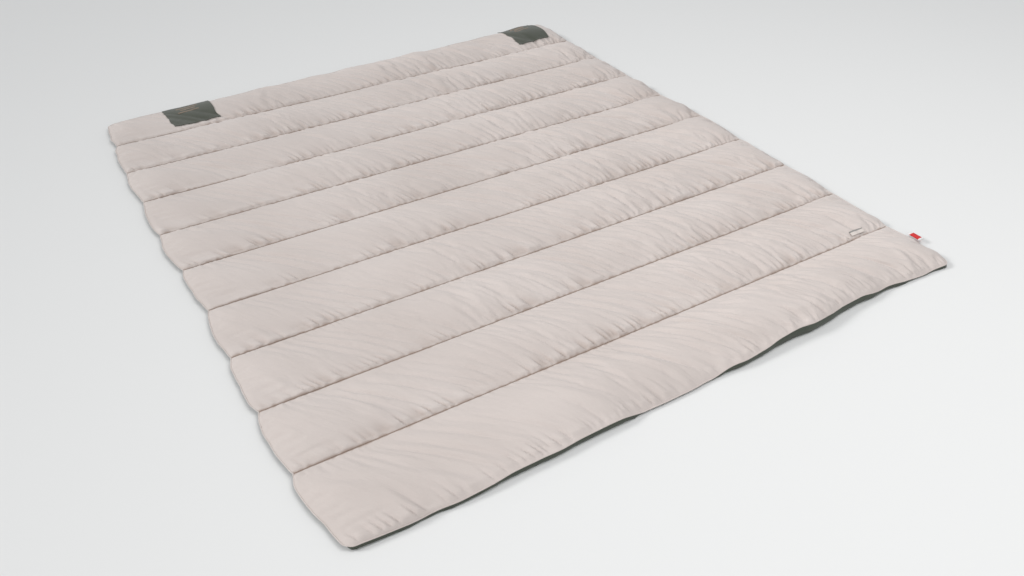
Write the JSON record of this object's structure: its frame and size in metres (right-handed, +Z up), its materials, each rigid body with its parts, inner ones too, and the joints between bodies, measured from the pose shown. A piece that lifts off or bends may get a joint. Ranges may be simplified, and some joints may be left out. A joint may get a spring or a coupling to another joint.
{
  "type": "camp quilt",
  "caption": "Two-person camp quilt: stuffed channels of pale and dark fabric, joined by folding quilting seams, with corner patches and a side tag.",
  "frame": {"origin": "on the ground under the middle of the quilt, with the quilt open and flat", "axes": "+X along the quilting seams towards the side with the flag tag, +Y along the length towards the end with the corner patches, +Z up"},
  "size_m": [1.8183, 2.1, 0.0491],
  "materials": {
    "top_fabric": "matte plain-woven cotton, warm ecru",
    "back_fabric": "matte plain-woven fabric, dark green",
    "fill": "white polyester wadding",
    "hem": "turned and overlocked fabric edge",
    "thread": "matte sewing thread",
    "patch_fabric": "matte dense weave, dark grey-green",
    "label": "satin ribbon, tone on tone",
    "tag_ribbon": "red woven ribbon with white edges"
  },
  "bodies": {
    "channel_01": {"top_panel_01": "top_fabric", "back_panel_01": "back_fabric", "fill_01": "fill", "side_hem_01": "hem", "patch_end_hem": "hem", "corner_patch_left": "patch_fabric", "corner_patch_right": "patch_fabric"},
    "channel_02": {"top_panel_02": "top_fabric", "back_panel_02": "back_fabric", "fill_02": "fill", "side_hem_02": "hem", "quilting_seam_1": "thread"},
    "channel_03": {"top_panel_03": "top_fabric", "back_panel_03": "back_fabric", "fill_03": "fill", "side_hem_03": "hem", "quilting_seam_2": "thread"},
    "channel_04": {"top_panel_04": "top_fabric", "back_panel_04": "back_fabric", "fill_04": "fill", "side_hem_04": "hem", "quilting_seam_3": "thread"},
    "channel_05": {"top_panel_05": "top_fabric", "back_panel_05": "back_fabric", "fill_05": "fill", "side_hem_05": "hem", "quilting_seam_4": "thread"},
    "channel_06": {"top_panel_06": "top_fabric", "back_panel_06": "back_fabric", "fill_06": "fill", "side_hem_06": "hem", "quilting_seam_5": "thread"},
    "channel_07": {"top_panel_07": "top_fabric", "back_panel_07": "back_fabric", "fill_07": "fill", "side_hem_07": "hem", "quilting_seam_6": "thread"},
    "channel_08": {"top_panel_08": "top_fabric", "back_panel_08": "back_fabric", "fill_08": "fill", "side_hem_08": "hem", "quilting_seam_7": "thread"},
    "channel_09": {"top_panel_09": "top_fabric", "back_panel_09": "back_fabric", "fill_09": "fill", "side_hem_09": "hem", "quilting_seam_8": "thread", "care_label": "label"},
    "channel_10": {"top_panel_10": "top_fabric", "back_panel_10": "back_fabric", "fill_10": "fill", "side_hem_10": "hem", "quilting_seam_9": "thread", "foot_end_hem": "hem"},
    "tag": {"flag_tag": "tag_ribbon"}
  },
  "joints": [
    {"name": "seam_1_fold", "type": "hinge", "parent": "channel_01", "child": "channel_02", "pos_m": [0, 0.84, 0.013], "axis": [-1, 0, 0], "range_deg": [-30, 51]},
    {"name": "seam_2_fold", "type": "hinge", "parent": "channel_02", "child": "channel_03", "pos_m": [0, 0.63, 0.013], "axis": [-1, 0, 0], "range_deg": [-30, 50]},
    {"name": "seam_3_fold", "type": "hinge", "parent": "channel_03", "child": "channel_04", "pos_m": [0, 0.42, 0.013], "axis": [-1, 0, 0], "range_deg": [-30, 50]},
    {"name": "seam_4_fold", "type": "hinge", "parent": "channel_04", "child": "channel_05", "pos_m": [0, 0.21, 0.013], "axis": [-1, 0, 0], "range_deg": [-30, 58]},
    {"name": "seam_5_fold", "type": "hinge", "parent": "channel_05", "child": "channel_06", "pos_m": [0, 0, 0.013], "axis": [-1, 0, 0], "range_deg": [-30, 62]},
    {"name": "seam_6_fold", "type": "hinge", "parent": "channel_06", "child": "channel_07", "pos_m": [0, -0.21, 0.013], "axis": [-1, 0, 0], "range_deg": [-30, 57]},
    {"name": "seam_7_fold", "type": "hinge", "parent": "channel_07", "child": "channel_08", "pos_m": [0, -0.42, 0.013], "axis": [-1, 0, 0], "range_deg": [-30, 74]},
    {"name": "seam_8_fold", "type": "hinge", "parent": "channel_08", "child": "channel_09", "pos_m": [0, -0.63, 0.013], "axis": [-1, 0, 0], "range_deg": [-30, 74]},
    {"name": "seam_9_fold", "type": "hinge", "parent": "channel_09", "child": "channel_10", "pos_m": [0, -0.84, 0.013], "axis": [-1, 0, 0], "range_deg": [-30, 74]},
    {"name": "tag_flap", "type": "hinge", "parent": "channel_10", "child": "tag", "pos_m": [0.9013, -0.918, 0.013], "axis": [0, -1, 0], "range_deg": [-35, 90]}
  ]
}
